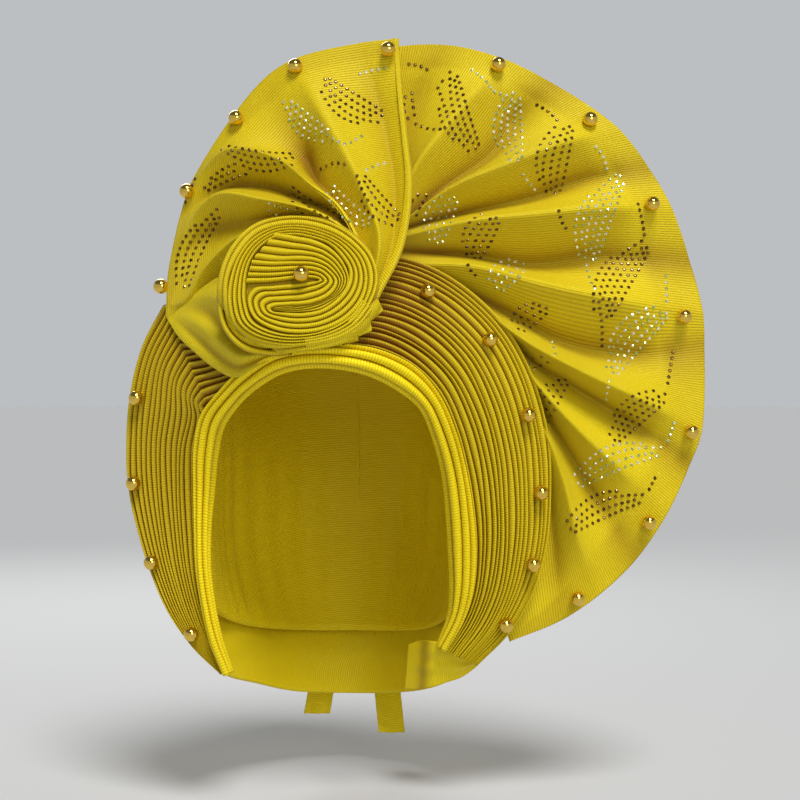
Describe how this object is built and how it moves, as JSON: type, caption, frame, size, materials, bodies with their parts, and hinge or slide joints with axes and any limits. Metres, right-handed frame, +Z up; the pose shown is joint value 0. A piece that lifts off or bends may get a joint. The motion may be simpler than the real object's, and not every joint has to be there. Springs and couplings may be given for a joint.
{
  "type": "tied gele head tie",
  "caption": "Ready-tied gele head tie: pleated band round the face, folded fan, folded panel with a pleated rosette, gold beads and small stones, on a cap.",
  "frame": {"origin": "middle of the head hollow at brow height, where the wearer's head holds the piece up", "axes": "+Z up along the head, -Y towards the front of the face opening, +X towards the fan, the right as seen from in front"},
  "size_m": [0.3153, 0.2107, 0.3975],
  "materials": {
    "cloth": "ribbed satin-faced weave",
    "gold_bead": "polished",
    "clear_stone": "faceted, iridescent",
    "dark_stone": "faceted, foil-backed"
  },
  "bodies": {
    "root": {"front_roll": "cloth", "left_wing": "cloth", "right_brim": "cloth", "fan_panel": "cloth", "swirl_panel": "cloth", "under_swathe": "cloth", "rosette": "cloth", "crown_cap": "cloth", "nape_wrap": "cloth", "nape_knot": "cloth", "tie_tail_left": "cloth", "tie_tail_right": "cloth", "bead_swirl_1": "gold_bead", "bead_swirl_2": "gold_bead", "bead_swirl_3": "gold_bead", "bead_swirl_4": "gold_bead", "bead_swirl_5": "gold_bead", "bead_wing_1": "gold_bead", "bead_wing_2": "gold_bead", "bead_wing_3": "gold_bead", "bead_wing_4": "gold_bead", "bead_rosette_middle": "gold_bead", "bead_brim_1": "gold_bead", "bead_brim_2": "gold_bead", "bead_brim_3": "gold_bead", "bead_brim_4": "gold_bead", "bead_brim_5": "gold_bead", "bead_brim_6": "gold_bead", "bead_fan_1": "gold_bead", "bead_fan_2": "gold_bead", "bead_fan_3": "gold_bead", "bead_fan_4": "gold_bead", "bead_fan_5": "gold_bead", "bead_fan_6": "gold_bead", "bead_fan_7": "gold_bead"}
  },
  "joints": []
}
